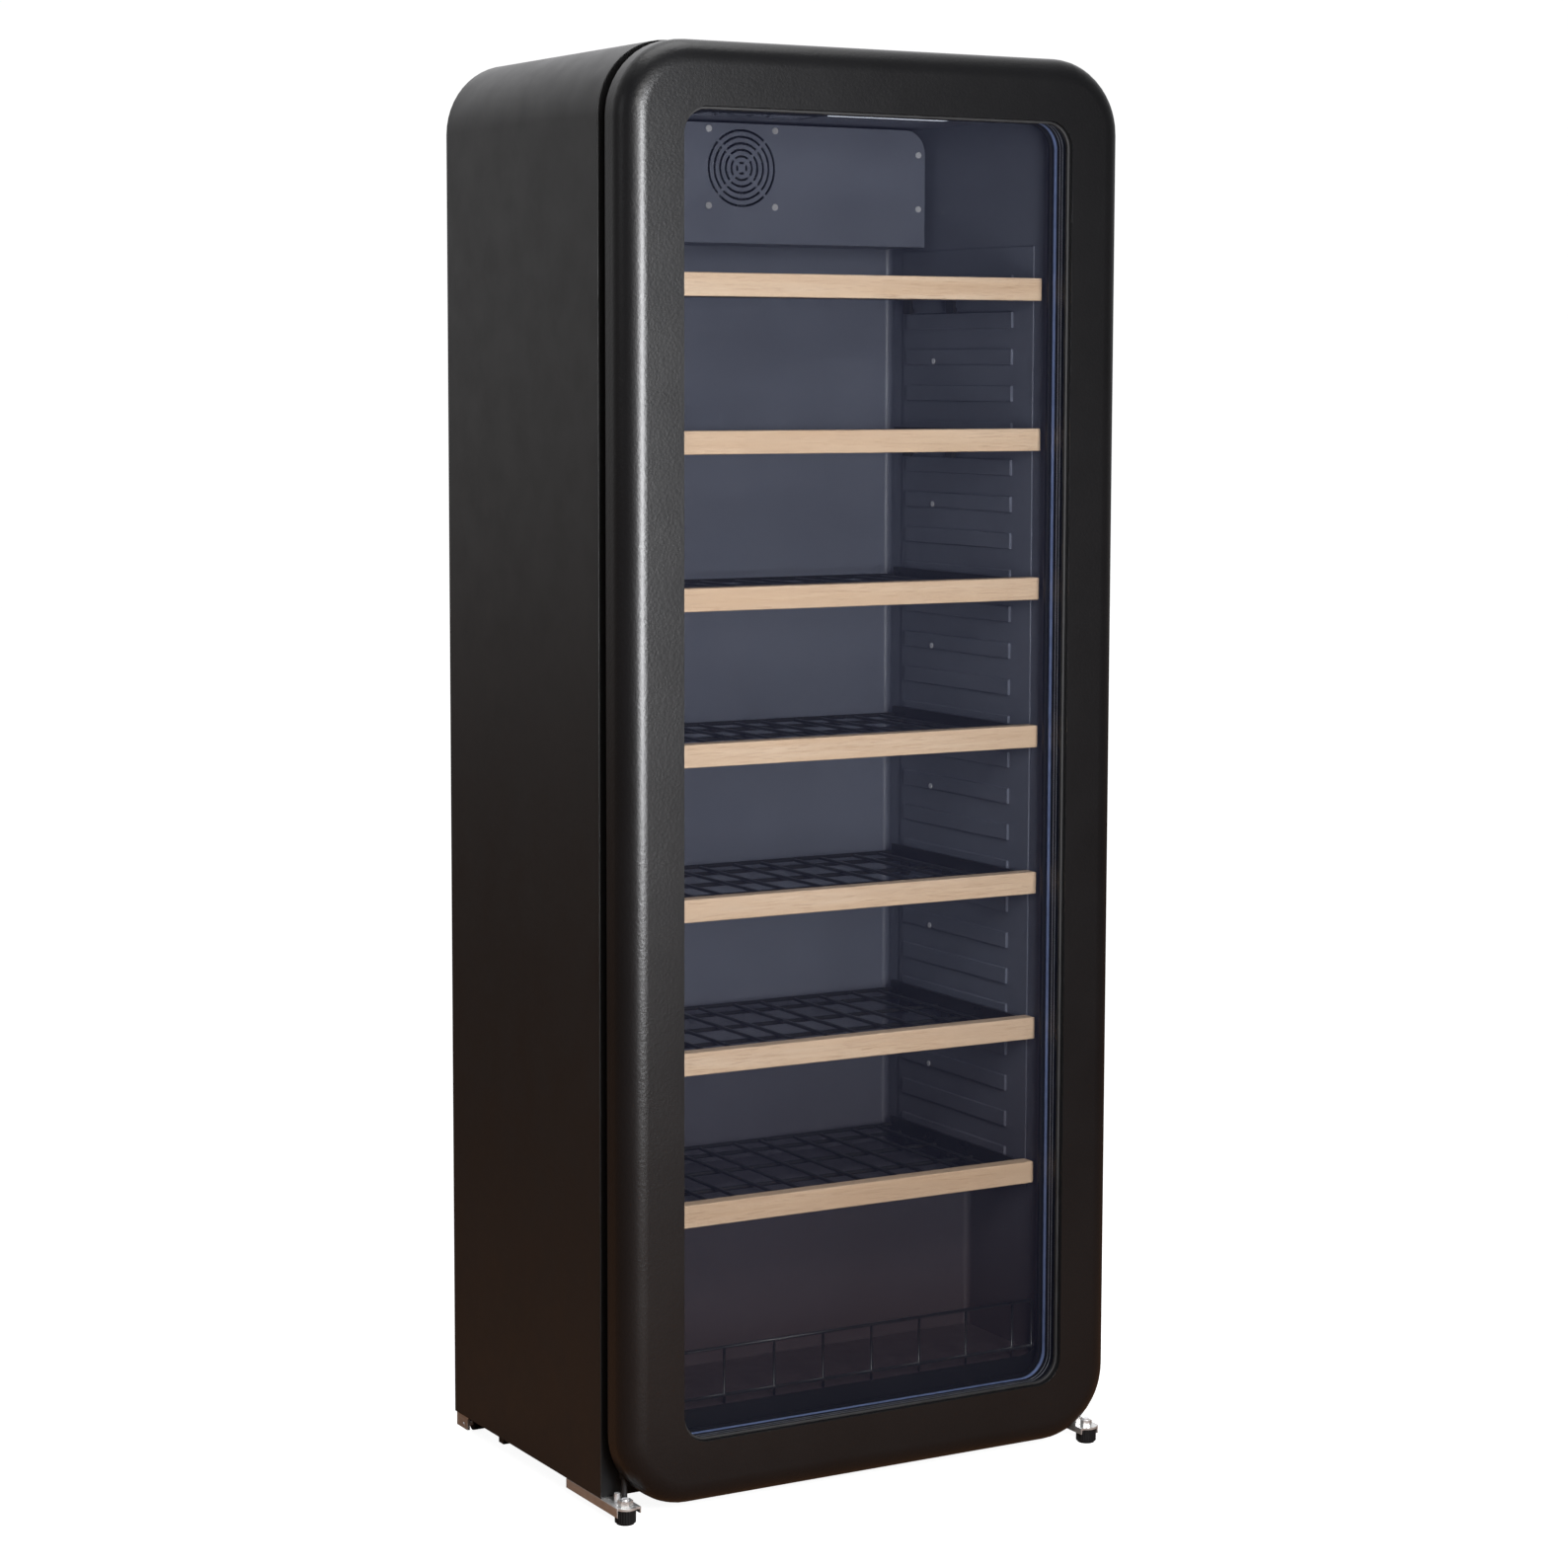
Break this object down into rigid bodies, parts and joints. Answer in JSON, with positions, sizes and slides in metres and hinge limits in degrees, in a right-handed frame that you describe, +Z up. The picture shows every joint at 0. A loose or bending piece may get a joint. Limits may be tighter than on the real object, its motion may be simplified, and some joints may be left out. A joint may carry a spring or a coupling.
{
  "type": "wine cooler",
  "caption": "Tall free-standing wine cooler with a rounded black cabinet, left-hinged framed glass door, sliding wood-fronted wire shelves, rear fan panel and a wire bottle guard.",
  "frame": {"origin": "centre of the bounding box's underside, on the floor", "axes": "+Z up, front towards -Y, +X to the viewer's right"},
  "size_m": [0.595, 0.416, 1.4995],
  "materials": {
    "black_paint": "satin, fine textured",
    "dark_steel": "satin",
    "foam": "matt foam",
    "liner_grey": "satin",
    "black_plastic": "satin",
    "black_enamel": "semi-gloss",
    "rubber_black": "matt",
    "aluminium_fin": "mill",
    "zinc_steel": "zinc plated",
    "steel_bright": "bright",
    "led_diffuser": "frosted, lit",
    "display_black": "gloss",
    "smoked_glass": "clear, smoke tinted",
    "spacer_black": "satin",
    "beech": "oiled",
    "door_black": "satin with a fine texture",
    "wire_black": "powder coated"
  },
  "bodies": {
    "cabinet": {"outer_shell": "black_paint", "rear_panel": "dark_steel", "insulation_foam": "foam", "inner_liner": "liner_grey", "front_flange": "black_plastic", "left_runner_panel": "liner_grey", "right_runner_panel": "liner_grey", "base_plate": "dark_steel", "compressor": "black_enamel", "compressor_mounts": "rubber_black", "condenser": "wire_black", "rear_cover": "dark_steel", "rear_cover_screws": "zinc_steel", "power_inlet": "black_plastic", "evaporator": "aluminium_fin", "fan_cover": "liner_grey", "inner_screws": "steel_bright", "fan_frame": "black_plastic", "light_strip": "led_diffuser", "control_panel": "black_plastic", "control_display": "display_black", "bottle_guard": "wire_black", "lower_left_bracket": "zinc_steel", "lower_right_bracket": "zinc_steel", "lower_hinge_pin": "dark_steel", "door_stop_peg": "steel_bright", "foot_studs": "steel_bright", "bracket_bolts": "zinc_steel", "roller_axles": "steel_bright", "roller_housings": "zinc_steel", "top_hinge_bracket": "dark_steel", "top_hinge_pin": "dark_steel"},
    "door": {"door_frame": "door_black", "door_inner_frame": "black_plastic", "outer_glass": "smoked_glass", "inner_glass": "smoked_glass", "glass_spacer": "spacer_black", "glazing_trim": "rubber_black", "door_gasket": "rubber_black", "hinge_bush_lower": "black_plastic", "hinge_bush_upper": "black_plastic"},
    "fan": {"fan_rotor": "black_plastic"},
    "left_foot": {"front_left_foot": "black_plastic"},
    "right_foot": {"front_right_foot": "black_plastic"},
    "left_roller": {"rear_left_roller": "black_plastic"},
    "right_roller": {"rear_right_roller": "black_plastic"},
    "shelf_1": {"shelf_1_front": "beech", "shelf_1_rack": "wire_black"},
    "shelf_2": {"shelf_2_front": "beech", "shelf_2_rack": "wire_black"},
    "shelf_3": {"shelf_3_front": "beech", "shelf_3_rack": "wire_black"},
    "shelf_4": {"shelf_4_front": "beech", "shelf_4_rack": "wire_black"},
    "shelf_5": {"shelf_5_front": "beech", "shelf_5_rack": "wire_black"},
    "shelf_6": {"shelf_6_front": "beech", "shelf_6_rack": "wire_black"},
    "shelf_7": {"shelf_7_front": "beech", "shelf_7_rack": "wire_black"}
  },
  "joints": [
    {"name": "door_hinge", "type": "hinge", "parent": "cabinet", "child": "door", "pos_m": [-0.281, -0.171, 0.06], "axis": [0, 0, -1], "range_deg": [0, 110]},
    {"name": "shelf_1_slide", "type": "slide", "parent": "cabinet", "child": "shelf_1", "axis": [0, -1, 0], "range_m": [0, 0.1]},
    {"name": "shelf_2_slide", "type": "slide", "parent": "cabinet", "child": "shelf_2", "axis": [0, -1, 0], "range_m": [0, 0.1]},
    {"name": "shelf_3_slide", "type": "slide", "parent": "cabinet", "child": "shelf_3", "axis": [0, -1, 0], "range_m": [0, 0.1]},
    {"name": "shelf_4_slide", "type": "slide", "parent": "cabinet", "child": "shelf_4", "axis": [0, -1, 0], "range_m": [0, 0.1]},
    {"name": "shelf_5_slide", "type": "slide", "parent": "cabinet", "child": "shelf_5", "axis": [0, -1, 0], "range_m": [0, 0.1]},
    {"name": "shelf_6_slide", "type": "slide", "parent": "cabinet", "child": "shelf_6", "axis": [0, -1, 0], "range_m": [0, 0.1]},
    {"name": "shelf_7_slide", "type": "slide", "parent": "cabinet", "child": "shelf_7", "axis": [0, -1, 0], "range_m": [0, 0.1]},
    {"name": "fan_spin", "type": "hinge", "parent": "cabinet", "child": "fan", "pos_m": [0, 0.104, 1.391], "axis": [0, -1, 0], "continuous": true},
    {"name": "left_foot_screw", "type": "slide", "parent": "cabinet", "child": "left_foot", "axis": [0, 0, -1], "range_m": [0, 0.006]},
    {"name": "right_foot_screw", "type": "slide", "parent": "cabinet", "child": "right_foot", "axis": [0, 0, -1], "range_m": [0, 0.006]},
    {"name": "left_roller_spin", "type": "hinge", "parent": "cabinet", "child": "left_roller", "pos_m": [-0.279, 0.188, 0.0078], "axis": [1, 0, 0], "continuous": true},
    {"name": "right_roller_spin", "type": "hinge", "parent": "cabinet", "child": "right_roller", "pos_m": [0.279, 0.188, 0.0078], "axis": [1, 0, 0], "continuous": true}
  ],
  "couplings": [
    {"joint": "shelf_1_slide", "follows": "door_hinge", "m_per_rad": 0.052},
    {"joint": "shelf_2_slide", "follows": "door_hinge", "m_per_rad": 0.052},
    {"joint": "shelf_3_slide", "follows": "door_hinge", "m_per_rad": 0.052},
    {"joint": "shelf_4_slide", "follows": "door_hinge", "m_per_rad": 0.052},
    {"joint": "shelf_5_slide", "follows": "door_hinge", "m_per_rad": 0.052},
    {"joint": "shelf_6_slide", "follows": "door_hinge", "m_per_rad": 0.052},
    {"joint": "shelf_7_slide", "follows": "door_hinge", "m_per_rad": 0.052}
  ]
}
